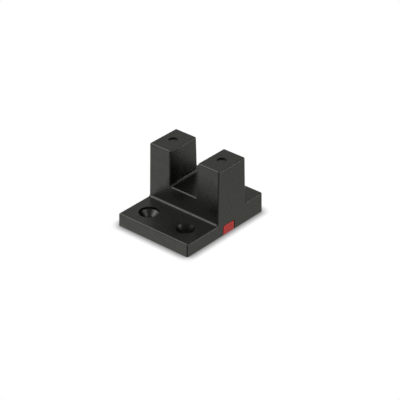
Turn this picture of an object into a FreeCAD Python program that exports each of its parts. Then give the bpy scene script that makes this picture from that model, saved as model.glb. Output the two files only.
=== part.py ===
import FreeCAD, Part
import math
import os

# Fork sensor: a beam crosses the slot between two arms and is broken by what passes through.
# Millimetres. X runs across the slot, Y from the fixing flange to the rear, Z up.
# The origin is the middle of the underside.

# Housing, seen from the side
flange_depth = 13.1
arm_depth = 12.1
rear_depth = 7.6
flange_height = 4.0
rear_height = 6.3
slot_floor_height = 10.0
housing_height = 21.2

# Housing, seen from the front
slot_width = 10.0
arm_width = 8.0

# Moulding: drafts in degrees, walls and radii
side_draft = 0.3
slot_draft = 0.5
end_draft = 1.2
arm_back_draft = 1.6
side_wall = 1.4
end_wall = 1.2
roof = 1.2
arm_roof = 1.3
beam_wall = 0.9
edge_radius = 0.45
root_radius = 0.7
slot_root_radius = 0.6
inside_radius = 0.4

# Fixing holes in the flange
fixing_spacing = 13.7
fixing_inset = 6.15
fixing_hole_diameter = 3.2
left_recess_diameter = 6.0
left_recess_depth = 0.8
left_sink_angle = 90.0
right_sink_diameter = 5.4
right_sink_angle = 48.0

# Round marks on the arm tops, over the beam
mark_diameter = 2.8
mark_depth = 0.35

# Red window low in the right side
window_setback = 2.2
window_width = 5.0
window_height = 3.0
window_corner = 0.5
window_edge = 0.2
window_gap = 0.2
window_plate = 0.8
window_plate_lap = 0.3
window_plate_rise = 1.6

# Cover plate under the housing
cover_thickness = 1.0
cover_recess = 0.1
cover_ledge = 0.6
post_height = 0.7
post_diameter = 1.8

# Circuit board and the ribs that hold it down
board_thickness = 1.0
rib_width = 1.2
rib_depth = 0.9
front_rib_offset = 4.0
rear_rib_offset = 9.2

# Beam elements and their holders
beam_drop = 5.2
element_width = 4.4
element_height = 5.6
element_thickness = 2.2
element_corner = 0.3
lens_rise = 3.4
lens_radius = 1.0
lens_height = 0.6
mask_thickness = 0.5
slit_width = 0.5
slit_height = 2.0
holder_cheek = 0.9
holder_wall = 0.5
shelf_thickness = 1.0
lead_width = 0.5
lead_thickness = 0.4
lead_tail = 0.4
emitter_lead_pitch = 2.54
receiver_lead_pitch = 1.27
peg_diameter = 0.7

# Plug connector in the rear wall
pin_pitch = 2.5
pin_count = 4
pin_size = 0.6
pin_reach = 4.4
pin_lap = 2.0
header_end = 2.4
header_wall = 0.6
header_back = 1.4
key_width = 2.0
key_depth = 1.5

# Parts on the board: length across the slot, width and height; legs on the left and on the right
chip_size = (3.0, 3.0, 1.1)
transistor_size = (1.3, 2.9, 1.0)
diode_size = (2.7, 1.6, 1.1)
capacitor_size = (3.2, 1.6, 1.2)
resistor_size = (2.0, 1.25, 0.55)
lamp_size = (1.6, 0.8, 0.6)
cap_length = 0.35
cap_proud = 0.03
leg_thickness = 0.15
leg_reach = 0.9
leg_foot = 0.45
chip_leg_width = 0.3
chip_leg_counts = (4, 4)
chip_leg_pitch = 0.65
transistor_leg_counts = (1, 2)
transistor_leg_width = 0.4
transistor_leg_pitch = 1.9
diode_leg_counts = (1, 1)
diode_leg_width = 0.6
diode_leg_pitch = 0.0

# Where they stand: from the middle line, and back from the board's front edge
chip_place = (0.0, 3.5)
emitter_resistor_place = (-4.4, 2.3)
indicator_resistor_place = (4.4, 2.3)

# From the middle line, and forward from the inner ends of the pins
transistor_place = (4.4, 2.6)
capacitor_place = (-4.3, 2.4)
output_resistor_place = (0.0, 1.6)

# From the middle line, and forward from the board's rear edge
diode_place = (9.0, 5.9)

# Clearances
fit = 0.1
board_clearance = 0.2
lead_clearance = 0.15

# Places worked out from the sizes above
housing_width = slot_width + 2 * arm_width
housing_depth = flange_depth + arm_depth + rear_depth
half_width = housing_width / 2
half_slot = slot_width / 2
front_y = -housing_depth / 2
back_y = housing_depth / 2
body_front = front_y + flange_depth
arm_back = body_front + arm_depth
beam_x = half_slot + arm_width / 2
beam_y = body_front + arm_depth / 2
beam_z = housing_height - beam_drop

inner_half_width = half_width - side_wall
inner_front = body_front + end_wall
inner_back = back_y - end_wall
inner_arm_back = arm_back - end_wall
pocket_x = half_slot + beam_wall
base_ceiling = rear_height - roof
slot_ceiling = slot_floor_height - roof
arm_ceiling = housing_height - arm_roof

cover_top = cover_recess + cover_thickness
board_bottom = cover_top + post_height
board_top = board_bottom + board_thickness

mask_x = pocket_x + mask_thickness
element_front = mask_x + fit + lens_height
element_back = element_front + element_thickness
lead_x = element_front + element_thickness / 2
element_bottom = beam_z - lens_rise
element_top = element_bottom + element_height
holder_front = mask_x + fit
holder_back = element_back + holder_wall
holder_half = element_width / 2 + fit + holder_cheek

window_front = body_front + window_setback
window_back = window_front + window_width
plate_x = inner_half_width - window_plate
notch_x = plate_x - board_clearance

header_front = arm_back + board_clearance
header_mouth = back_y - board_clearance
header_half = (pin_count - 1) * pin_pitch / 2 + header_end
header_bottom = cover_top + fit
header_top = base_ceiling - fit
board_front = inner_front + board_clearance
board_back = inner_back - board_clearance
pins_start = header_front - pin_lap


def vector(x, y, z):
    return FreeCAD.Vector(x, y, z)


def seen_from_side(a, b):
    return vector(0, a, b)


def seen_from_front(a, b):
    return vector(a, 0, b)


def seen_from_above(a, b):
    return vector(a, b, 0)


def lean(height, degrees):
    """How far a drafted wall leans in over a height."""
    return height * math.tan(math.radians(degrees))


def rounded_corner(before, corner, after, radius):
    """Start, middle and end of the arc that rounds a corner, all the same point where it is sharp."""
    if radius == 0:
        return corner, corner, corner
    back = (before - corner).normalize()
    onward = (after - corner).normalize()
    half_angle = back.getAngle(onward) / 2
    reach = radius / math.tan(half_angle)
    centre = corner + (back + onward).normalize() * (radius / math.sin(half_angle))
    middle = centre + (corner - centre).normalize() * radius
    return corner + back * reach, middle, corner + onward * reach


def outline(corners, view):
    """Closed face through corners given as (a, b, radius) in one of the three views."""
    points = [view(a, b) for a, b, _ in corners]
    arcs = []
    for i, (_, _, radius) in enumerate(corners):
        following = points[(i + 1) % len(points)]
        arcs.append(rounded_corner(points[i - 1], points[i], following, radius))
    edges = []
    for i, (start, middle, end) in enumerate(arcs):
        if start.distanceToPoint(end) > 0:
            edges.append(Part.Arc(start, middle, end).toShape())
        next_start = arcs[(i + 1) % len(arcs)][0]
        edges.append(Part.LineSegment(end, next_start).toShape())
    return Part.Face(Part.Wire(edges))


def side_prism(corners, x_low, x_high):
    face = outline(corners, seen_from_side)
    face.translate(vector(x_low, 0, 0))
    return face.extrude(vector(x_high - x_low, 0, 0))


def front_prism(corners, y_low, y_high):
    face = outline(corners, seen_from_front)
    face.translate(vector(0, y_low, 0))
    return face.extrude(vector(0, y_high - y_low, 0))


def plan_prism(corners, z_low, z_high):
    face = outline(corners, seen_from_above)
    face.translate(vector(0, 0, z_low))
    return face.extrude(vector(0, 0, z_high - z_low))


def block(x_low, x_high, y_low, y_high, z_low, z_high):
    return Part.makeBox(x_high - x_low, y_high - y_low, z_high - z_low, vector(x_low, y_low, z_low))


def mirrored(shape):
    """The same piece on the other side of the slot."""
    return shape.mirror(vector(0, 0, 0), vector(1, 0, 0))


def normal_beside(face, point):
    u, v = face.Surface.parameter(point)
    return face.normalAt(u, v)


def sharp_edges(shape):
    """Edges above the underside where two faces meet at an angle."""
    found = []
    for edge in shape.Edges:
        if edge.BoundBox.ZMax < edge_radius:
            continue
        faces = shape.ancestorsOfType(edge, Part.Face)
        middle = edge.valueAt((edge.FirstParameter + edge.LastParameter) / 2)
        normals = [normal_beside(face, middle) for face in faces]
        if normals[0].getAngle(normals[1]) > math.radians(5):
            found.append(edge)
    return found


def outer_form():
    """The moulding's outside: the side view and the front view cut from one block, edges rounded."""
    arm_front_top = body_front + lean(housing_height - flange_height, end_draft)
    arm_back_top = arm_back - lean(housing_height - rear_height, arm_back_draft)
    side_view = [
        (front_y, 0, 0),
        (back_y, 0, 0),
        (back_y - lean(rear_height, end_draft), rear_height, 0),
        (arm_back, rear_height, root_radius),
        (arm_back_top, housing_height, 0),
        (arm_front_top, housing_height, 0),
        (body_front, flange_height, root_radius),
        (front_y + lean(flange_height, end_draft), flange_height, 0),
    ]
    outer_top = half_width - lean(housing_height, side_draft)
    slot_top = half_slot + lean(housing_height - slot_floor_height, slot_draft)
    front_view = [
        (-half_width, 0, 0),
        (half_width, 0, 0),
        (outer_top, housing_height, 0),
        (slot_top, housing_height, 0),
        (half_slot, slot_floor_height, slot_root_radius),
        (-half_slot, slot_floor_height, slot_root_radius),
        (-slot_top, housing_height, 0),
        (-outer_top, housing_height, 0),
    ]
    side = side_prism(side_view, -housing_width, housing_width)
    front = front_prism(front_view, -housing_depth, housing_depth)
    form = side.common(front).removeSplitter()
    return form.makeFillet(edge_radius, sharp_edges(form))


def inner_form():
    """The room inside the moulding: the same two views moved in by the walls, open below."""
    front_top = inner_front + lean(arm_ceiling - flange_height, end_draft)
    back_top = inner_arm_back - lean(arm_ceiling - base_ceiling, arm_back_draft)
    side_view = [
        (inner_front, -1, 0),
        (inner_back, -1, 0),
        (inner_back, base_ceiling, inside_radius),
        (inner_arm_back, base_ceiling, 0),
        (back_top, arm_ceiling, inside_radius),
        (front_top, arm_ceiling, inside_radius),
        (inner_front, flange_height, 0),
    ]
    front_view = [
        (-inner_half_width, -1, 0),
        (inner_half_width, -1, 0),
        (inner_half_width, arm_ceiling, inside_radius),
        (pocket_x, arm_ceiling, inside_radius),
        (pocket_x, slot_ceiling, 0),
        (-pocket_x, slot_ceiling, 0),
        (-pocket_x, arm_ceiling, inside_radius),
        (-inner_half_width, arm_ceiling, inside_radius),
    ]
    side = side_prism(side_view, -housing_width, housing_width)
    front = front_prism(front_view, -housing_depth, housing_depth)
    room = side.common(front)
    for rib in board_ribs():
        room = room.cut(rib)
    return room


def board_ribs():
    """Ribs inside the housing that press the board down on the cover's posts."""
    ribs = []
    for side in (-1, 1):
        front_x = side * front_rib_offset
        rear_x = side * rear_rib_offset
        half = rib_width / 2
        ribs.append(block(front_x - half, front_x + half, body_front, inner_front + rib_depth,
                          board_top, slot_floor_height))
        ribs.append(block(rear_x - half, rear_x + half, inner_back - rib_depth, back_y,
                          board_top, rear_height))
    return ribs


def cover_outline(gap, notched):
    """The cover's outline, or with no gap and no notch the recess that it lies in."""
    x = inner_half_width + cover_ledge - gap
    y_low = inner_front - cover_ledge + gap
    y_high = inner_back + cover_ledge - gap
    corners = [(-x, y_low, inside_radius), (x, y_low, inside_radius)]
    if notched:
        notch = inner_half_width - gap
        corners.append((x, window_front - gap, 0))
        corners.append((notch, window_front - gap, 0))
        corners.append((notch, window_back + gap, 0))
        corners.append((x, window_back + gap, 0))
    return corners + [(x, y_high, inside_radius), (-x, y_high, inside_radius)]


def through_hole(x, y, mouth_diameter, straight_depth, sink_angle):
    """Screw hole with a recess for the head: a straight stretch, then a cone down to the hole."""
    mouth = mouth_diameter / 2
    hole = fixing_hole_diameter / 2
    slope = math.tan(math.radians(sink_angle / 2))
    cone_depth = (mouth - hole) / slope
    cone_top = flange_height - straight_depth
    above = 1.0
    top = vector(x, y, cone_top)
    straight = Part.makeCylinder(mouth, straight_depth + above, top)
    cone = Part.makeCone(mouth, hole, cone_depth, top, vector(0, 0, -1))
    bore = Part.makeCylinder(hole, cone_top + above, vector(x, y, -above))
    if straight_depth > 0:
        return bore.fuse(cone).fuse(straight)
    flare = Part.makeCone(mouth, mouth + above * slope, above, top)
    return bore.fuse(cone).fuse(flare)


def fixing_holes():
    y = front_y + fixing_inset
    half = fixing_spacing / 2
    left = through_hole(-half, y, left_recess_diameter, left_recess_depth, left_sink_angle)
    right = through_hole(half, y, right_sink_diameter, 0, right_sink_angle)
    return [left, right]


def arm_marks():
    bottom = housing_height - mark_depth
    marks = []
    for side in (-1, 1):
        foot = vector(side * beam_x, beam_y, bottom)
        marks.append(Part.makeCylinder(mark_diameter / 2, 2 * mark_depth, foot))
    return marks


def window_view(gap, bottom):
    """The window's outline from the side, with its two upper corners rounded."""
    top = window_height - gap
    front = window_front + gap
    back = window_back - gap
    return [(front, bottom, 0), (back, bottom, 0), (back, top, window_corner), (front, top, window_corner)]


def housing():
    shape = outer_form().cut(inner_form())
    recess = plan_prism(cover_outline(0, False), -1, cover_top)
    window_hole = side_prism(window_view(0, -1), inner_half_width - cover_ledge, half_width + 1)
    plug_hole = block(-header_half - fit, header_half + fit, inner_back - inside_radius - fit, back_y + 1,
                      header_bottom - fit, header_top + fit)
    for tool in [recess, window_hole, plug_hole] + fixing_holes() + arm_marks():
        shape = shape.cut(tool)
    return shape.removeSplitter()


def base_cover():
    shape = plan_prism(cover_outline(fit, True), cover_recess, cover_top)
    front_y_post = inner_front + rib_depth + post_diameter / 2
    rear_y_post = inner_back - rib_depth - post_diameter / 2
    for side in (-1, 1):
        for x, y in ((side * front_rib_offset, front_y_post), (side * rear_rib_offset, rear_y_post)):
            foot = vector(x, y, cover_top - cover_recess)
            post = Part.makeCylinder(post_diameter / 2, post_height + cover_recess, foot)
            shape = shape.fuse(post)
    return shape.removeSplitter()


def indicator_window():
    """Red plug in the side wall, with a plate inside that seats on the wall and faces the lamp."""
    plug = side_prism(window_view(window_gap, 0), inner_half_width, half_width)
    rim = [edge for edge in plug.Edges if edge.BoundBox.XMin > half_width - fit and edge.BoundBox.ZMax > fit]
    plug = plug.makeFillet(window_edge, rim)
    low = window_front - window_plate_lap
    high = window_back + window_plate_lap
    plate = block(plate_x, inner_half_width, low, high, cover_top + fit, window_height + window_plate_rise)
    return plug.fuse(plate).removeSplitter()


def board_holes():
    """Holes for the leads and for the pegs of both holders."""
    holes = []
    spots = [(-lead_x, y) for y in lead_places(2, emitter_lead_pitch)]
    spots += [(lead_x, y) for y in lead_places(3, receiver_lead_pitch)]
    lead_hole = math.hypot(lead_width, lead_thickness) / 2 + lead_clearance
    for x, y in spots:
        holes.append(Part.makeCylinder(lead_hole, 2 * board_thickness, vector(x, y, board_bottom - fit)))
    for side in (-1, 1):
        for y in peg_places():
            foot = vector(side * lead_x, y, board_bottom - fit)
            holes.append(Part.makeCylinder(peg_diameter / 2 + fit, 2 * board_thickness, foot))
    return holes


def main_board():
    """The board goes round the window's plate on the right and round the connector at the rear."""
    x = inner_half_width - board_clearance
    low = board_front
    high = board_back
    plug_x = header_half + board_clearance
    plug_y = header_front - board_clearance
    corners = [
        (-x, low, 0),
        (x, low, 0),
        (x, window_front - window_plate_lap - board_clearance, 0),
        (notch_x, window_front - window_plate_lap - board_clearance, 0),
        (notch_x, window_back + window_plate_lap + board_clearance, 0),
        (x, window_back + window_plate_lap + board_clearance, 0),
        (x, high, 0),
        (plug_x, high, 0),
        (plug_x, plug_y, 0),
        (-plug_x, plug_y, 0),
        (-plug_x, high, 0),
        (-x, high, 0),
    ]
    shape = plan_prism(corners, board_bottom, board_top)
    for hole in board_holes():
        shape = shape.cut(hole)
    return shape


def lead_places(count, pitch):
    return [beam_y + (i - (count - 1) / 2) * pitch for i in range(count)]


def peg_places():
    """The middle of each cheek of a holder."""
    offset = holder_half - holder_cheek / 2
    return [beam_y - offset, beam_y + offset]


def beam_element():
    """Side-looking package in the right arm, its lens towards the slot."""
    half = element_width / 2
    body = block(element_front, element_back, beam_y - half, beam_y + half, element_bottom, element_top)
    upright = [edge for edge in body.Edges if edge.BoundBox.ZLength > element_height / 2]
    body = body.makeFillet(element_corner, upright)
    ball_radius = (lens_radius ** 2 + lens_height ** 2) / (2 * lens_height)
    ball_x = element_front - lens_height + ball_radius
    ball = Part.makeSphere(ball_radius, vector(ball_x, beam_y, beam_z))
    room = block(element_front - lens_height, element_back, beam_y - half, beam_y + half,
                 element_bottom, element_top)
    return body.fuse(ball.common(room)).removeSplitter()


def beam_mask():
    """Plate on the slot wall with the upright slit that the beam passes."""
    plate = block(pocket_x, mask_x, beam_y - holder_half, beam_y + holder_half, element_bottom, element_top)
    slit = block(pocket_x - fit, mask_x + fit, beam_y - slit_width / 2, beam_y + slit_width / 2,
                 beam_z - slit_height / 2, beam_z + slit_height / 2)
    return plate.cut(slit)


def element_holder(lead_count, lead_pitch):
    """Stand on the board: a channel for the leads, a shelf under the element and cheeks beside it."""
    shape = block(holder_front, holder_back, beam_y - holder_half, beam_y + holder_half,
                  board_top, element_top)
    half = element_width / 2 + fit
    shape = shape.cut(block(holder_front - fit, element_back, beam_y - half, beam_y + half,
                            element_bottom, element_top + fit))
    shape = shape.cut(block(holder_front - fit, element_back, beam_y - half, beam_y + half,
                            board_top - fit, element_bottom - shelf_thickness))
    for y in lead_places(lead_count, lead_pitch):
        half_x = lead_thickness / 2 + lead_clearance
        half_y = lead_width / 2 + lead_clearance
        shape = shape.cut(block(lead_x - half_x, lead_x + half_x, y - half_y, y + half_y,
                                element_bottom - 2 * shelf_thickness, element_bottom + fit))
    for y in peg_places():
        peg = Part.makeCylinder(peg_diameter / 2, board_thickness + fit, vector(lead_x, y, board_bottom))
        shape = shape.fuse(peg)
    return shape


def element_lead(y):
    """Straight lead from the element's underside through the board."""
    half_x = lead_thickness / 2
    half_y = lead_width / 2
    return block(lead_x - half_x, lead_x + half_x, y - half_y, y + half_y,
                 board_bottom - lead_tail, element_bottom)


def leg(body_x, y, width, height):
    """Flat leg that leaves a package at half height and turns down to its foot on the board."""
    middle = board_top + height / 2
    root = body_x - leg_thickness
    knee = body_x + leg_reach - leg_foot
    tip = body_x + leg_reach
    corners = [
        (root, middle - leg_thickness, 0),
        (knee, middle - leg_thickness, 0),
        (knee, board_top, 0),
        (tip, board_top, 0),
        (tip, board_top + leg_thickness, 0),
        (knee + leg_thickness, board_top + leg_thickness, 0),
        (knee + leg_thickness, middle, 0),
        (root, middle, 0),
    ]
    return front_prism(corners, y - width / 2, y + width / 2)


def legged_package(size, x, y, legs, leg_width, leg_pitch):
    """Moulded package with legs on its two sides across the slot."""
    length, width, height = size
    left_legs, right_legs = legs
    shape = block(-length / 2, length / 2, -width / 2, width / 2,
                  board_top + leg_thickness, board_top + height)
    for i in range(right_legs):
        shape = shape.fuse(leg(length / 2, (i - (right_legs - 1) / 2) * leg_pitch, leg_width, height))
    for i in range(left_legs):
        opposite = leg(length / 2, (i - (left_legs - 1) / 2) * leg_pitch, leg_width, height)
        shape = shape.fuse(mirrored(opposite))
    shape.translate(vector(x, y, 0))
    return shape.removeSplitter()


def chip_with_caps(size, x, y):
    """Ceramic chip with a metal cap round each end."""
    length, width, height = size
    half = length / 2
    shape = block(-half + cap_proud, half - cap_proud, -width / 2 + cap_proud, width / 2 - cap_proud,
                  board_top + cap_proud, board_top + height - cap_proud)
    for low in (-half, half - cap_length):
        shape = shape.fuse(block(low, low + cap_length, -width / 2, width / 2, board_top, board_top + height))
    shape.translate(vector(x, y, 0))
    return shape.removeSplitter()


def indicator_lamp():
    """Lamp chip beside the window's plate: a capped base with a clear block on it."""
    length, width, height = lamp_size
    base_height = height / 2
    x = notch_x - fit - length / 2
    y = beam_y - holder_half - board_clearance - width / 2
    base = chip_with_caps((length, width, base_height), x, y)
    clear = block(x - length / 2 + cap_length, x + length / 2 - cap_length, y - width / 2, y + width / 2,
                  board_top + base_height - cap_proud, board_top + height)
    return base.fuse(clear).removeSplitter()


def signal_chip():
    x, setback = chip_place
    return legged_package(chip_size, x, board_front + setback, chip_leg_counts, chip_leg_width, chip_leg_pitch)


def output_transistor():
    x, offset = transistor_place
    return legged_package(transistor_size, x, pins_start - offset, transistor_leg_counts,
                          transistor_leg_width, transistor_leg_pitch)


def rear_diode():
    """Diode on the right half of the board, beside the connector."""
    x, offset = diode_place
    return legged_package(diode_size, x, board_back - offset, diode_leg_counts, diode_leg_width, diode_leg_pitch)


def front_chip(size, place):
    x, setback = place
    return chip_with_caps(size, x, board_front + setback)


def middle_chip(size, place):
    x, offset = place
    return chip_with_caps(size, x, pins_start - offset)


def pin_places():
    return [(i - (pin_count - 1) / 2) * pin_pitch for i in range(pin_count)]


def connector_header():
    """Open box in the rear wall with a key slot in its floor and a tight hole for each pin."""
    shape = block(-header_half, header_half, header_front, header_mouth, header_bottom, header_top)
    inner = header_half - header_wall
    floor = header_bottom + header_wall
    shape = shape.cut(block(-inner, inner, header_front + header_back, back_y,
                            floor, header_top - header_wall))
    shape = shape.cut(block(-key_width / 2, key_width / 2, header_mouth - key_depth, back_y,
                            header_bottom - fit, floor + fit))
    for x in pin_places():
        shape = shape.cut(block(x - pin_size / 2, x + pin_size / 2, header_front - fit,
                                header_front + header_back + fit, board_top, board_top + pin_size))
    return shape


def terminal_pin(x):
    """Square pin that lies on the board, passes through the header's back and ends in a blunt point."""
    pin = block(x - pin_size / 2, x + pin_size / 2, pins_start, header_front + header_back + pin_reach,
                board_top, board_top + pin_size)
    tip = [edge for edge in pin.Edges if edge.BoundBox.YMin > header_front + header_back]
    return pin.makeChamfer(pin_size / 4, tip)


def pieces():
    """Every piece by the name of its node."""
    found = {
        "housing": housing(),
        "base_cover": base_cover(),
        "indicator_window": indicator_window(),
        "main_board": main_board(),
        "emitter": mirrored(beam_element()),
        "receiver": beam_element(),
        "emitter_mask": mirrored(beam_mask()),
        "receiver_mask": beam_mask(),
        "emitter_holder": mirrored(element_holder(2, emitter_lead_pitch)),
        "receiver_holder": element_holder(3, receiver_lead_pitch),
        "signal_chip": signal_chip(),
        "output_transistor": output_transistor(),
        "protection_diode": rear_diode(),
        "surge_diode": mirrored(rear_diode()),
        "supply_capacitor": middle_chip(capacitor_size, capacitor_place),
        "emitter_resistor": front_chip(resistor_size, emitter_resistor_place),
        "indicator_resistor": front_chip(resistor_size, indicator_resistor_place),
        "output_resistor": middle_chip(resistor_size, output_resistor_place),
        "indicator_led": indicator_lamp(),
        "connector_header": connector_header(),
    }
    emitter_leads = ("emitter_anode_lead", "emitter_cathode_lead")
    for name, y in zip(emitter_leads, lead_places(2, emitter_lead_pitch)):
        found[name] = mirrored(element_lead(y))
    receiver_leads = ("receiver_supply_lead", "receiver_output_lead", "receiver_ground_lead")
    for name, y in zip(receiver_leads, lead_places(3, receiver_lead_pitch)):
        found[name] = element_lead(y)
    pins = ("supply_pin", "output_pin", "control_pin", "ground_pin")
    for name, x in zip(pins, pin_places()):
        found[name] = terminal_pin(x)
    return found


os.makedirs("parts", exist_ok=True)
for node, piece in pieces().items():
    piece.exportStep("parts/" + node + ".step")
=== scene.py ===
"""Fork sensor on white paper in a studio with soft lights all round.

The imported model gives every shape. This script gives each piece the finish of its real
material, adds the solder and the pads of the circuit board, and sets the studio and camera.
"""
import logging
import math
from dataclasses import dataclass, field
from enum import Enum
from typing import Any, Iterable, Mapping

import bmesh
import bpy
from mathutils import Matrix, Vector


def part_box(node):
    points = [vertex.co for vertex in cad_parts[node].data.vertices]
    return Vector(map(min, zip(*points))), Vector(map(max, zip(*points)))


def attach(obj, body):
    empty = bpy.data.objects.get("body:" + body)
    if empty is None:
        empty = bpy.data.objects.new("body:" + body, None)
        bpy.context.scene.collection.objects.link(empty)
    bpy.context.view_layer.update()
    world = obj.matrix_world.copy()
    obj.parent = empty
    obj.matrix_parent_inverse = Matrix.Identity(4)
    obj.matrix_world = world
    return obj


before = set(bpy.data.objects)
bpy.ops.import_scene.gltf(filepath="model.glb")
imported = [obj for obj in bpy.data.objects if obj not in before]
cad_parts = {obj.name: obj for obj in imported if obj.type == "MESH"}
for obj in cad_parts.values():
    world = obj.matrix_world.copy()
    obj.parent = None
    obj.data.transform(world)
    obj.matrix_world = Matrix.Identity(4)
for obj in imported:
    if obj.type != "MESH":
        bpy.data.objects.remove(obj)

MM = 0.001
# Blender's wave texture turns this many radians for each unit of its scale.
WAVE_RATE = 20
# Blender's soft noise keeps mostly between these two values.
NOISE_LOW, NOISE_HIGH = 0.3, 0.7
LEAD_NAMES = (
    "emitter_anode_lead",
    "emitter_cathode_lead",
    "receiver_supply_lead",
    "receiver_output_lead",
    "receiver_ground_lead",
)
log = logging.getLogger("fork_sensor")


def linear(hex_colour: str) -> tuple[float, float, float, float]:
    """Turns an sRGB hex colour into the linear values that shaders take.

    Args:
        hex_colour: six hex digits after a hash.

    Returns:
        Red, green, blue and an alpha of one.
    """
    channels = [int(hex_colour[i:i + 2], 16) / 255 for i in (1, 3, 5)]
    red, green, blue = (c / 12.92 if c <= 0.04045 else ((c + 0.055) / 1.055) ** 2.4 for c in channels)
    return red, green, blue, 1.0


def add_node(
    tree: bpy.types.NodeTree,
    kind: str,
    settings: Mapping[str, Any] | None = None,
    inputs: Mapping[str | int, Any] | None = None,
) -> bpy.types.Node:
    """Adds one node with its settings, constants and links.

    Args:
        tree: the node tree that takes it.
        kind: Blender's name for the node type.
        settings: attributes of the node, such as its operation.
        inputs: sockets by name or number, each with a constant or the output that feeds it.

    Returns:
        The new node.
    """
    node = tree.nodes.new(kind)
    for name, value in (settings or {}).items():
        setattr(node, name, value)
    for name, value in (inputs or {}).items():
        if isinstance(value, bpy.types.NodeSocket):
            tree.links.new(value, node.inputs[name])
        else:
            node.inputs[name].default_value = value
    return node


def empty_material(name: str) -> tuple[bpy.types.Material, bpy.types.NodeTree]:
    """Makes a material whose node tree is still empty.

    Args:
        name: the material's name.

    Returns:
        The material and its tree.
    """
    material = bpy.data.materials.new(name)
    material.use_nodes = True
    material.node_tree.nodes.clear()
    return material, material.node_tree


def finish_surface(tree: bpy.types.NodeTree, shader: bpy.types.Node) -> None:
    """Feeds a shader to the material's output."""
    add_node(tree, "ShaderNodeOutputMaterial", inputs={"Surface": shader.outputs[0]})


def noise(tree: bpy.types.NodeTree, size_mm: float, detail: float = 2.0) -> bpy.types.NodeSocket:
    """Adds soft noise in the piece's own coordinates.

    Args:
        tree: the material's tree.
        size_mm: the width of one patch.
        detail: how many finer layers lie over it.

    Returns:
        The noise, from 0 to 1.
    """
    place = add_node(tree, "ShaderNodeTexCoord").outputs["Object"]
    texture = add_node(
        tree, "ShaderNodeTexNoise", inputs={"Vector": place, "Scale": 1 / (size_mm * MM), "Detail": detail}
    )
    return texture.outputs[0]


def bump(tree: bpy.types.NodeTree, height: bpy.types.NodeSocket, depth_mm: float) -> bpy.types.NodeSocket:
    """Turns a height from 0 to 1 into a relief of a real depth.

    Args:
        tree: the material's tree.
        height: the pattern.
        depth_mm: the depth from its lowest to its highest point.

    Returns:
        The bent normal.
    """
    relief = add_node(
        tree, "ShaderNodeBump", inputs={"Height": height, "Strength": 1.0, "Distance": depth_mm * MM}
    )
    return relief.outputs[0]


def spread(
    tree: bpy.types.NodeTree, value: bpy.types.NodeSocket, low: float, high: float
) -> bpy.types.NodeSocket:
    """Spreads the middle of a noise over a range of values.

    Args:
        tree: the material's tree.
        value: the noise.
        low: the result at NOISE_LOW.
        high: the result at NOISE_HIGH.

    Returns:
        The spread value.
    """
    ranged = add_node(
        tree,
        "ShaderNodeMapRange",
        inputs={
            "Value": value,
            "From Min": NOISE_LOW,
            "From Max": NOISE_HIGH,
            "To Min": low,
            "To Max": high,
        },
    )
    return ranged.outputs[0]


def blend_colours(
    tree: bpy.types.NodeTree, factor: bpy.types.NodeSocket, low: Any, high: Any
) -> bpy.types.NodeSocket:
    """Mixes two colours.

    Args:
        tree: the material's tree.
        factor: 0 for the first colour and 1 for the second.
        low: the first colour, or the output that gives it.
        high: the second colour, or the output that gives it.

    Returns:
        The mixed colour.
    """
    mix = add_node(tree, "ShaderNodeMix", {"data_type": "RGBA"}, {0: factor, 6: low, 7: high})
    return mix.outputs[2]


def distance_from(tree: bpy.types.NodeTree, axis: int, middle: float) -> bpy.types.NodeSocket:
    """Measures how far a point of the surface is from a plane across one axis.

    Args:
        tree: the material's tree.
        axis: 0, 1 or 2 for X, Y or Z.
        middle: the plane's place on that axis, in metres.

    Returns:
        The distance in metres, never negative.
    """
    place = add_node(tree, "ShaderNodeTexCoord").outputs["Object"]
    parts = add_node(tree, "ShaderNodeSeparateXYZ", inputs={0: place})
    offset = add_node(tree, "ShaderNodeMath", {"operation": "SUBTRACT"}, {0: parts.outputs[axis], 1: middle})
    return add_node(tree, "ShaderNodeMath", {"operation": "ABSOLUTE"}, {0: offset.outputs[0]}).outputs[0]


def beyond(tree: bpy.types.NodeTree, distance: bpy.types.NodeSocket, limit: float) -> bpy.types.NodeSocket:
    """Gives 1 where a distance passes a limit in metres, and 0 elsewhere."""
    return add_node(tree, "ShaderNodeMath", {"operation": "GREATER_THAN"}, {0: distance, 1: limit}).outputs[0]


class Clearness(Enum):
    """How much light a resin lets through."""

    SOLID = 0.0
    CLEAR = 0.85


@dataclass(frozen=True)
class MouldedResin:
    """An injection-moulded plastic: its colour, its gloss and the texture of its mould.

    The grain is what spark erosion leaves in the mould's wall. The mottle is the slow change of
    gloss where the melt met the wall hotter or colder.
    """

    name: str
    colour: str
    deep_colour: str
    roughness: float
    grain_mm: float = 0.12
    grain_depth_mm: float = 0.003
    mottle_mm: float = 2.4
    mottle_layers: float = 3.0
    gloss_change: float = 0.05
    clearness: Clearness = Clearness.SOLID
    ior: float = 1.5

    def material(self) -> bpy.types.Material:
        """Builds the material.

        Returns:
            The material.
        """
        material, tree = empty_material(self.name)
        mottle = noise(tree, self.mottle_mm, self.mottle_layers)
        colour = blend_colours(
            tree, spread(tree, mottle, 0.0, 1.0), linear(self.deep_colour), linear(self.colour)
        )
        gloss = spread(tree, mottle, self.roughness + self.gloss_change, self.roughness - self.gloss_change)
        grain = bump(tree, noise(tree, self.grain_mm), self.grain_depth_mm)
        shader = add_node(
            tree,
            "ShaderNodeBsdfPrincipled",
            inputs={
                "Base Color": colour,
                "Roughness": gloss,
                "IOR": self.ior,
                "Normal": grain,
                "Transmission Weight": self.clearness.value,
            },
        )
        finish_surface(tree, shader)
        return material


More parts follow.
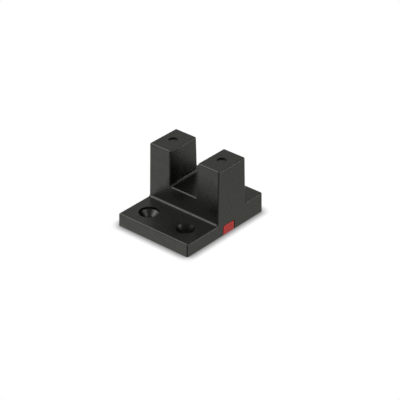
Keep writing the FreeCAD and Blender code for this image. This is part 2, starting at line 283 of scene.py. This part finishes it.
@dataclass(frozen=True)
class PlatedMetal:
    """A metal under a thin plating: a faint relief, and patches where the plating is worn and duller."""

    name: str
    colour: str
    worn_colour: str
    roughness: float
    relief_mm: float = 0.05
    relief_depth_mm: float = 0.001
    reliefs_per_patch: float = 8.0
    worn_gloss_loss: float = 0.08

    def shader(self, tree: bpy.types.NodeTree) -> bpy.types.Node:
        """Builds the metal's shader in a tree, so that a mixed material can hold it too.

        Args:
            tree: the material's tree.

        Returns:
            The shader node.
        """
        patch = noise(tree, self.relief_mm * self.reliefs_per_patch)
        colour = blend_colours(
            tree, spread(tree, patch, 0.0, 1.0), linear(self.worn_colour), linear(self.colour)
        )
        gloss = spread(tree, patch, self.roughness + self.worn_gloss_loss, self.roughness)
        relief = bump(tree, noise(tree, self.relief_mm), self.relief_depth_mm)
        return add_node(
            tree,
            "ShaderNodeBsdfPrincipled",
            inputs={"Base Color": colour, "Metallic": 1.0, "Roughness": gloss, "Normal": relief},
        )

    def material(self) -> bpy.types.Material:
        """Builds the material.

        Returns:
            The material.
        """
        material, tree = empty_material(self.name)
        finish_surface(tree, self.shader(tree))
        return material


@dataclass(frozen=True)
class EndedPackage:
    """A part's body between metal ends: legs beyond a moulded package, or caps on a ceramic chip."""

    name: str
    body_colour: str
    deep_colour: str
    roughness: float
    ends: PlatedMetal
    grain_mm: float = 0.08
    grain_depth_mm: float = 0.004

    def material(self, middle_x: float, body_half: float) -> bpy.types.Material:
        """Builds the material for one part.

        Args:
            middle_x: the middle of the part across the slot, in metres.
            body_half: half the length of its bare body, in metres.

        Returns:
            The material.
        """
        material, tree = empty_material(self.name)
        grain = noise(tree, self.grain_mm)
        colour = blend_colours(
            tree, spread(tree, grain, 0.0, 1.0), linear(self.deep_colour), linear(self.body_colour)
        )
        body = add_node(
            tree,
            "ShaderNodeBsdfPrincipled",
            inputs={
                "Base Color": colour,
                "Roughness": self.roughness,
                "Normal": bump(tree, grain, self.grain_depth_mm),
            },
        )
        at_end = beyond(tree, distance_from(tree, 0, middle_x), body_half)
        mixed = add_node(
            tree,
            "ShaderNodeMixShader",
            inputs={0: at_end, 1: body.outputs[0], 2: self.ends.shader(tree).outputs[0]},
        )
        finish_surface(tree, mixed)
        return material


@dataclass(frozen=True)
class BoardLaminate:
    """Woven glass in epoxy under green solder resist, with the pale laminate bare at its cut edges."""

    name: str = "glass_epoxy_laminate_with_green_solder_resist"
    resist: str = "#1D5A36"
    deep_resist: str = "#17492C"
    bare: str = "#B9B27C"
    thread_mm: float = 0.45
    thread_depth_mm: float = 0.006
    thread_waver: float = 0.4
    resist_mm: float = 0.03
    resist_roughness: float = 0.32
    bare_roughness: float = 0.7

    def material(self, middle_z: float, half_thickness: float) -> bpy.types.Material:
        """Builds the material.

        Args:
            middle_z: the height of the board's middle, in metres.
            half_thickness: half the thickness between its two coated faces, in metres.

        Returns:
            The material.
        """
        material, tree = empty_material(self.name)
        place = add_node(tree, "ShaderNodeTexCoord").outputs["Object"]
        threads = [
            add_node(
                tree,
                "ShaderNodeTexWave",
                {"bands_direction": direction},
                {
                    "Vector": place,
                    "Scale": math.tau / WAVE_RATE / (self.thread_mm * MM),
                    "Distortion": self.thread_waver,
                },
            ).outputs[1]
            for direction in ("X", "Y")
        ]
        weave = add_node(tree, "ShaderNodeMath", {"operation": "MULTIPLY"}, {0: threads[0], 1: threads[1]})
        coated = blend_colours(tree, weave.outputs[0], linear(self.deep_resist), linear(self.resist))
        on_face = beyond(tree, distance_from(tree, 2, middle_z), half_thickness - self.resist_mm * MM)
        colour = blend_colours(tree, on_face, linear(self.bare), coated)
        gloss = add_node(
            tree,
            "ShaderNodeMapRange",
            inputs={"Value": on_face, "To Min": self.bare_roughness, "To Max": self.resist_roughness},
        ).outputs[0]
        shader = add_node(
            tree,
            "ShaderNodeBsdfPrincipled",
            inputs={
                "Base Color": colour,
                "Roughness": gloss,
                "Normal": bump(tree, weave.outputs[0], self.thread_depth_mm),
            },
        )
        finish_surface(tree, shader)
        return material


# Polybutylene terephthalate filled black, moulded in a spark-eroded tool: near black with a warm
# cast, and a satin sheen that takes the grey of the paper on upright faces. The real grain of about
# 0.1 mm is finer than a pixel, so it is drawn at 0.2 mm and deeper to match.
HOUSING_RESIN = MouldedResin(
    name="black_polyester_moulded_matt",
    colour="#0C0C07",
    deep_colour="#0A0A06",
    roughness=0.26,
    grain_mm=0.2,
    grain_depth_mm=0.036,
)

# The same resin from a plainer tool: the cover is duller and its grain shallower.
COVER_RESIN = MouldedResin(
    name="black_polyester_cover_coarse",
    colour="#1C1C1A",
    deep_colour="#171715",
    roughness=0.5,
    grain_mm=0.2,
    grain_depth_mm=0.006,
)

# Polycarbonate dyed so deep that nothing shows through it: an even red with the lamp off.
WINDOW_RESIN = MouldedResin(
    name="red_polycarbonate_moulded",
    colour="#B90E02",
    deep_colour="#AF0C01",
    roughness=0.3,
    grain_mm=0.3,
    grain_depth_mm=0.001,
    mottle_mm=1.2,
    gloss_change=0.03,
)

# Clear casting epoxy with a faint violet cast: glassy, so that the chip would show inside it.
EMITTER_EPOXY = MouldedResin(
    name="clear_infrared_epoxy",
    colour="#C9CCDF",
    deep_colour="#B7B9D2",
    roughness=0.08,
    grain_mm=0.5,
    grain_depth_mm=0.0005,
    gloss_change=0.02,
    clearness=Clearness.CLEAR,
    ior=1.53,
)

# Epoxy dyed to pass infrared only: glossy and black, with a red-brown depth.
RECEIVER_EPOXY = MouldedResin(
    name="daylight_blocking_epoxy",
    colour="#1E1214",
    deep_colour="#170E10",
    roughness=0.12,
    grain_mm=0.5,
    grain_depth_mm=0.0005,
    gloss_change=0.02,
    ior=1.53,
)

# Thin black polycarbonate: flat and dull, to keep stray light out of the slit.
MASK_RESIN = MouldedResin(
    name="black_polycarbonate_mask",
    colour="#141414",
    deep_colour="#101010",
    roughness=0.62,
)

# Unfilled grey polyamide: slightly waxy and lighter than the housing.
HOLDER_RESIN = MouldedResin(
    name="grey_polyamide_moulded",
    colour="#4A4B4A",
    deep_colour="#434443",
    roughness=0.46,
)

# Glass-filled black polyamide: a dull surface with a faint fibre grain.
HEADER_RESIN = MouldedResin(
    name="black_polyamide_glass_filled",
    colour="#1B1B1C",
    deep_colour="#151516",
    roughness=0.44,
    grain_mm=0.16,
    grain_depth_mm=0.005,
)

# Matt tin on copper: soft grey-white metal.
TIN_PLATE = PlatedMetal(
    name="matt_tin_on_copper", colour="#D6D5CF", worn_colour="#C4C3BD", roughness=0.32
)

# Tin over brass wire: brighter than the leads, with a trace of yellow where it wears.
PIN_PLATE = PlatedMetal(
    name="bright_tin_on_brass", colour="#DAD5C4", worn_colour="#C9B98B", roughness=0.2
)

# Solder that has flowed: bright, with a smooth skin.
SOLDER = PlatedMetal(
    name="reflowed_solder", colour="#D9DAD8", worn_colour="#C6C7C5", roughness=0.16, relief_mm=0.2
)

# Gold flashed over nickel on the pads: pale warm metal.
PAD_PLATE = PlatedMetal(
    name="gold_flash_on_copper", colour="#E3C27A", worn_colour="#D2AE66", roughness=0.28
)

# Mould compound full of silica: dull charcoal.
PACKAGE_EPOXY = EndedPackage(
    name="silica_filled_mould_compound",
    body_colour="#2B2B2D",
    deep_colour="#252527",
    roughness=0.58,
    ends=TIN_PLATE,
)

# Fired barium titanate: an even tan biscuit.
CAPACITOR_CERAMIC = EndedPackage(
    name="tan_barium_titanate_ceramic",
    body_colour="#A98B64",
    deep_colour="#9C7F5A",
    roughness=0.5,
    ends=TIN_PLATE,
)

# Alumina under a black glaze: smooth and dark.
RESISTOR_CERAMIC = EndedPackage(
    name="glazed_alumina_resistor",
    body_colour="#26262A",
    deep_colour="#1F1F23",
    roughness=0.3,
    ends=TIN_PLATE,
)

# Pale lens epoxy on a white ceramic base: milky and glossy.
LAMP_EPOXY = EndedPackage(
    name="pale_lamp_epoxy",
    body_colour="#E9E4D6",
    deep_colour="#E2DCCB",
    roughness=0.2,
    ends=TIN_PLATE,
)


def dress(node: str, material: bpy.types.Material) -> None:
    """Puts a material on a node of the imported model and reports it.

    Args:
        node: the node's name.
        material: what it is made of.
    """
    for mesh_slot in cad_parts[node].material_slots:
        mesh_slot.material = material
    log.info("%s: %s", node, material.name)


def new_piece(name: str, mesh_data: bmesh.types.BMesh, material: bpy.types.Material) -> None:
    """Turns a finished bmesh into a piece that rides on the part.

    Args:
        name: the piece's name.
        mesh_data: its shape in metres, at its place.
        material: what it is made of.
    """
    bmesh.ops.recalc_face_normals(mesh_data, faces=mesh_data.faces)
    mesh = bpy.data.meshes.new(name)
    mesh_data.to_mesh(mesh)
    mesh_data.free()
    piece = bpy.data.objects.new(name, mesh)
    bpy.context.scene.collection.objects.link(piece)
    mesh.materials.append(material)
    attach(piece, "root")
    log.info("%s: %s, %d faces", name, material.name, len(mesh.polygons))


def middle_of(node: str) -> Vector:
    """Gives the middle of a node's box, in metres."""
    low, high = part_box(node)
    return (low + high) / 2


@dataclass
class Casing:
    """The black housing, the cover under it and the red window in its side."""

    housing_finish: MouldedResin = HOUSING_RESIN
    cover_finish: MouldedResin = COVER_RESIN
    window_finish: MouldedResin = WINDOW_RESIN

    def build(self) -> None:
        """Dresses the three mouldings that make the outside."""
        dress("housing", self.housing_finish.material())
        dress("base_cover", self.cover_finish.material())
        dress("indicator_window", self.window_finish.material())


@dataclass
class BeamPath:
    """The emitter and the receiver with their masks, holders and leads."""

    emitter_finish: MouldedResin = EMITTER_EPOXY
    receiver_finish: MouldedResin = RECEIVER_EPOXY
    lead_names: tuple[str, ...] = LEAD_NAMES

    def build(self) -> None:
        """Dresses both ends of the beam."""
        dress("emitter", self.emitter_finish.material())
        dress("receiver", self.receiver_finish.material())
        mask = MASK_RESIN.material()
        holder = HOLDER_RESIN.material()
        for side in ("emitter", "receiver"):
            dress(f"{side}_mask", mask)
            dress(f"{side}_holder", holder)
        lead = TIN_PLATE.material()
        for name in self.lead_names:
            dress(name, lead)


@dataclass
class SolderJoint:
    """The collar of solder that runs up a lead where it leaves the board."""

    foot_radius_mm: float = 0.62
    tip_radius_mm: float = 0.34
    height_mm: float = 0.36
    sides: int = 24
    rings: int = 5
    merge_mm: float = 0.0005

    def add(self, mesh_data: bmesh.types.BMesh, foot: Vector) -> None:
        """Spins the hollow-sided profile of one joint below the board.

        Args:
            mesh_data: the bmesh that collects all the joints.
            foot: the middle of its foot on the board's underside, in metres.
        """
        profile = []
        for i in range(self.rings + 1):
            share = i / self.rings
            radius = self.tip_radius_mm + (self.foot_radius_mm - self.tip_radius_mm) * (1 - share) ** 2
            profile.append(mesh_data.verts.new(foot + Vector((radius, 0, -share * self.height_mm)) * MM))
        top = mesh_data.verts.new(foot)
        tip = mesh_data.verts.new(foot + Vector((0, 0, -self.height_mm)) * MM)
        line = [top, *profile, tip]
        edges = [mesh_data.edges.new(pair) for pair in zip(line, line[1:])]
        bmesh.ops.spin(
            mesh_data,
            geom=line + edges,
            cent=foot,
            axis=(0, 0, 1),
            dvec=(0, 0, 0),
            angle=math.tau,
            steps=self.sides,
            use_merge=True,
            use_normal_flip=False,
            use_duplicate=False,
        )
        bmesh.ops.remove_doubles(mesh_data, verts=mesh_data.verts, dist=self.merge_mm * MM)


@dataclass
class Package:
    """A part on the board: the length of its bare body and the pads under its ends."""

    node: str
    body_mm: float
    finish: EndedPackage
    pad_rows: tuple[int, int] = (1, 1)
    pad_pitch_mm: float = 0.0
    pad_width_mm: float = 0.7
    pad_length_mm: float = 0.7
    pad_overhang_mm: float = 0.2


@dataclass
class Circuit:
    """The board, the parts on it, their pads and the solder under the leads."""

    pad_thickness_mm: float = 0.03
    pad_edge_mm: float = 0.01
    pad_edge_steps: int = 2
    body_margin_mm: float = 0.01
    soldered_leads: tuple[str, ...] = LEAD_NAMES
    joint: SolderJoint = field(default_factory=SolderJoint)
    packages: tuple[Package, ...] = (
        Package("signal_chip", 3.0, PACKAGE_EPOXY, (4, 4), 0.65, 0.38, 0.8),
        Package("output_transistor", 1.3, PACKAGE_EPOXY, (1, 2), 1.9, 0.6, 0.8),
        Package("protection_diode", 2.7, PACKAGE_EPOXY, (1, 1), 0.0, 0.9, 0.9),
        Package("surge_diode", 2.7, PACKAGE_EPOXY, (1, 1), 0.0, 0.9, 0.9),
        Package("supply_capacitor", 2.5, CAPACITOR_CERAMIC, (1, 1), 0.0, 1.7, 0.7),
        Package("emitter_resistor", 1.3, RESISTOR_CERAMIC, (1, 1), 0.0, 1.35, 0.7),
        Package("indicator_resistor", 1.3, RESISTOR_CERAMIC, (1, 1), 0.0, 1.35, 0.7),
        Package("output_resistor", 1.3, RESISTOR_CERAMIC, (1, 1), 0.0, 1.35, 0.7),
        Package("indicator_led", 0.9, LAMP_EPOXY, (1, 1), 0.0, 0.8, 0.5),
    )

    def build(self) -> None:
        """Dresses the board and its parts, then lays the pads and the solder."""
        low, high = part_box("main_board")
        board = BoardLaminate().material((low.z + high.z) / 2, (high.z - low.z) / 2)
        dress("main_board", board)
        for package in self.packages:
            body_half = (package.body_mm / 2 + self.body_margin_mm) * MM
            dress(package.node, package.finish.material(middle_of(package.node).x, body_half))
        self.lay_pads(high.z)
        self.solder_leads(low.z)

    def lay_pads(self, board_top: float) -> None:
        """Lays a bevelled plate of copper under each leg and cap.

        Args:
            board_top: the height of the board's upper face, in metres.
        """
        pads = bmesh.new()
        for package in self.packages:
            low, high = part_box(package.node)
            middle_y = (low.y + high.y) / 2
            reach = (package.pad_length_mm / 2 - package.pad_overhang_mm) * MM
            for end_x, side, count in ((low.x, -1, package.pad_rows[0]), (high.x, 1, package.pad_rows[1])):
                for i in range(count):
                    y = middle_y + (i - (count - 1) / 2) * package.pad_pitch_mm * MM
                    size = (package.pad_length_mm, package.pad_width_mm, self.pad_thickness_mm)
                    place = Vector((end_x - side * reach, y, board_top))
                    shape = Matrix.Translation(place) @ Matrix.Diagonal((*[s * MM for s in size], 1))
                    bmesh.ops.create_cube(pads, size=1.0, matrix=shape)
        bmesh.ops.bevel(
            pads,
            geom=pads.edges[:],
            offset=self.pad_edge_mm * MM,
            offset_type="OFFSET",
            segments=self.pad_edge_steps,
            profile=0.5,
            affect="EDGES",
            material=-1,
        )
        new_piece("board_pads", pads, PAD_PLATE.material())

    def solder_leads(self, board_bottom: float) -> None:
        """Puts a solder joint round each lead under the board.

        Args:
            board_bottom: the height of the board's lower face, in metres.
        """
        joints = bmesh.new()
        for name in self.soldered_leads:
            middle = middle_of(name)
            self.joint.add(joints, Vector((middle.x, middle.y, board_bottom)))
        new_piece("lead_solder", joints, SOLDER.material())


@dataclass
class PlugSocket:
    """The open header in the rear wall and its four pins."""

    header_finish: MouldedResin = HEADER_RESIN
    pin_finish: PlatedMetal = PIN_PLATE
    pin_names: tuple[str, ...] = ("supply_pin", "output_pin", "control_pin", "ground_pin")

    def build(self) -> None:
        """Dresses the header and the pins."""
        dress("connector_header", self.header_finish.material())
        pin = self.pin_finish.material()
        for name in self.pin_names:
            dress(name, pin)


@dataclass(frozen=True)
class RoomLight:
    """A round patch of light on the wall, ceiling or table far round the part, with a soft edge.

    Angles are in degrees. The azimuth is 0 in front of the flange and 90 on the right. The edge is
    half the width of the ring round the rim in which the light fades out.
    """

    name: str
    azimuth: float
    elevation: float
    half_angle: float
    level: float
    edge: float = 12.0

    def direction(self) -> Vector:
        """Gives the direction from the part to the light."""
        turn, rise = math.radians(self.azimuth), math.radians(self.elevation)
        return Vector((math.sin(turn) * math.cos(rise), -math.cos(turn) * math.cos(rise), math.sin(rise)))

    def add(
        self, tree: bpy.types.NodeTree, view: bpy.types.NodeSocket, below: float | bpy.types.NodeSocket
    ) -> bpy.types.NodeSocket:
        """Adds the light to the level of the room.

        Args:
            tree: the world's tree.
            view: the direction that a ray goes.
            below: the level so far.

        Returns:
            The level with this light.
        """
        towards = add_node(
            tree, "ShaderNodeVectorMath", {"operation": "DOT_PRODUCT"}, {0: view, 1: self.direction()}
        ).outputs["Value"]
        rim = math.cos(math.radians(self.half_angle + self.edge))
        full = math.cos(math.radians(max(0.0, self.half_angle - self.edge)))
        patch = add_node(
            tree,
            "ShaderNodeMapRange",
            {"interpolation_type": "SMOOTHSTEP", "label": self.name},
            {"Value": towards, "From Min": rim, "From Max": full, "To Min": 0.0, "To Max": self.level},
        ).outputs[0]
        return add_node(tree, "ShaderNodeMath", {"operation": "ADD"}, {0: below, 1: patch}).outputs[0]


# The black part shows little but reflections, so each patch was placed and set by the face or edge
# of the part that mirrors it. Those named for the paper stand below the horizon.
ROOM_LIGHTS = (
    RoomLight("box_front_left", -48.0, 41.0, 12.0, 3.0),
    RoomLight("high_box_front_left", -48.0, 65.0, 16.0, 1.4),
    RoomLight("box_left", -90.0, 40.0, 15.0, 2.1),
    RoomLight("wall_rear_left", -139.0, 38.0, 15.0, 0.31),
    RoomLight("wall_rear", 178.0, 40.0, 14.0, 0.8),
    RoomLight("low_wall_front_left", -48.0, 12.0, 18.0, 1.1),
    RoomLight("box_right_rear", 108.0, 52.0, 12.0, 2.2),
    RoomLight("low_wall_right", 110.0, 6.0, 14.0, 2.2),
    RoomLight("low_wall_right_rear", 130.0, -3.0, 7.0, 5.5, edge=5.0),
    RoomLight("paper_front_left", -39.0, -37.0, 18.0, 0.98),
    RoomLight("paper_front", 25.0, -32.0, 20.0, 0.3),
    RoomLight("paper_right", 95.0, -32.0, 20.0, 0.45),
    RoomLight("paper_right_rear", 125.0, -38.0, 18.0, 0.55),
    RoomLight("paper_rear", 200.0, -32.0, 20.0, 0.8),
)


@dataclass
class Studio:
    """White paper, the room round it and the camera.

    The paper is drawn as a white glow for the eye, with a painted shadow close to the part where ambient
    occlusion dims the glow. For reflections and for light from below, the lower half of the room stands for
    it, with its own lights.
    """

    floor_half_m: float = 3.0
    floor_gap_mm: float = 0.02
    paper_white: float = 0.86
    # Painted shadow round the part: how far the occlusion reaches, how fast it fades and how many samples it
    # takes.
    painted_shadow_mm: float = 2.6
    painted_shadow_fall: float = 2.0
    painted_shadow_samples: int = 16
    room_level: float = 0.24
    room_colour: str = "#FFFFF8"
    lights: tuple[RoomLight, ...] = ROOM_LIGHTS
    camera_place_mm: tuple[float, float, float] = (286.54, -328.04, 266.89)
    camera_target_mm: tuple[float, float, float] = (3.575, -0.162, 7.491)
    lens_mm: float = 160.6
    sensor_mm: float = 36.0
    clip_m: tuple[float, float] = (0.01, 20.0)

    def build(self) -> None:
        """Sets the stage."""
        self.lay_floor()
        self.light_room()
        self.place_camera()

    def lay_floor(self) -> None:
        """Lays the sheet of paper just under the part."""
        sheet = bmesh.new()
        bmesh.ops.create_grid(sheet, x_segments=1, y_segments=1, size=self.floor_half_m)
        bmesh.ops.translate(sheet, verts=sheet.verts, vec=(0, 0, -self.floor_gap_mm * MM))
        mesh = bpy.data.meshes.new("paper_floor")
        sheet.to_mesh(mesh)
        sheet.free()
        floor = bpy.data.objects.new("paper_floor", mesh)
        bpy.context.scene.collection.objects.link(floor)
        mesh.materials.append(self.paper())
        floor.visible_glossy = False
        floor.visible_shadow = False
        log.info("paper_floor: %s", mesh.materials[0].name)

    def paper(self) -> bpy.types.Material:
        """Makes the paper: a white glow to the eye, with a narrow painted shadow where the part stands.

        Returns:
            The material.
        """
        material, tree = empty_material("white_card")
        path = add_node(tree, "ShaderNodeLightPath").outputs
        mirrored = add_node(
            tree,
            "ShaderNodeMath",
            {"operation": "ADD"},
            {0: path["Is Glossy Ray"], 1: path["Is Transmission Ray"]},
        ).outputs[0]
        seen = add_node(
            tree,
            "ShaderNodeMath",
            {"operation": "ADD", "use_clamp": True},
            {0: path["Is Camera Ray"], 1: mirrored},
        ).outputs[0]
        # Painted shadow: ambient occlusion near the part dims the glow that the eye sees on the paper, in
        # place of a shadow cast by the lamps.
        painted_shadow_ao = add_node(
            tree,
            "ShaderNodeAmbientOcclusion",
            {"samples": self.painted_shadow_samples},
            {"Distance": self.painted_shadow_mm * MM},
        ).outputs["AO"]
        plain = add_node(tree, "ShaderNodeBsdfDiffuse", inputs={"Color": (*[self.paper_white] * 3, 1)})
        painted_shadow_level = add_node(
            tree, "ShaderNodeMath", {"operation": "POWER"}, {0: painted_shadow_ao, 1: self.painted_shadow_fall}
        ).outputs[0]
        bright = add_node(tree, "ShaderNodeEmission", inputs={"Strength": painted_shadow_level})
        mixed = add_node(
            tree,
            "ShaderNodeMixShader",
            inputs={0: seen, 1: plain.outputs[0], 2: bright.outputs[0]},
        )
        finish_surface(tree, mixed)
        return material

    def light_room(self) -> None:
        """Lights the room from the world, a dim wall with the lights on it."""
        world = bpy.data.worlds.new("studio_room")
        world.use_nodes = True
        tree = world.node_tree
        tree.nodes.clear()
        view = add_node(tree, "ShaderNodeTexCoord").outputs["Generated"]
        level: float | bpy.types.NodeSocket = self.room_level
        for light in self.lights:
            level = light.add(tree, view, level)
        background = add_node(
            tree, "ShaderNodeBackground", inputs={"Color": linear(self.room_colour), "Strength": level}
        )
        add_node(tree, "ShaderNodeOutputWorld", inputs={"Surface": background.outputs[0]})
        bpy.context.scene.world = world

    def place_camera(self) -> None:
        """Puts the camera where the photograph was taken from."""
        data = bpy.data.cameras.new("photo_camera")
        data.lens = self.lens_mm
        data.sensor_width = self.sensor_mm
        data.clip_start, data.clip_end = self.clip_m
        camera = bpy.data.objects.new("photo_camera", data)
        bpy.context.scene.collection.objects.link(camera)
        place = Vector(self.camera_place_mm) * MM
        target = Vector(self.camera_target_mm) * MM
        camera.location = place
        camera.rotation_mode = "QUATERNION"
        camera.rotation_quaternion = (target - place).to_track_quat("-Z", "Y")
        bpy.context.scene.camera = camera
        bpy.context.scene.view_settings.view_transform = "Standard"


def main() -> None:
    """Builds the part and the studio."""
    logging.basicConfig(level=logging.INFO, format="%(message)s")
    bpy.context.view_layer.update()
    for assembly in (Casing(), BeamPath(), Circuit(), PlugSocket(), Studio()):
        assembly.build()


if __name__ == "__main__":
    main()
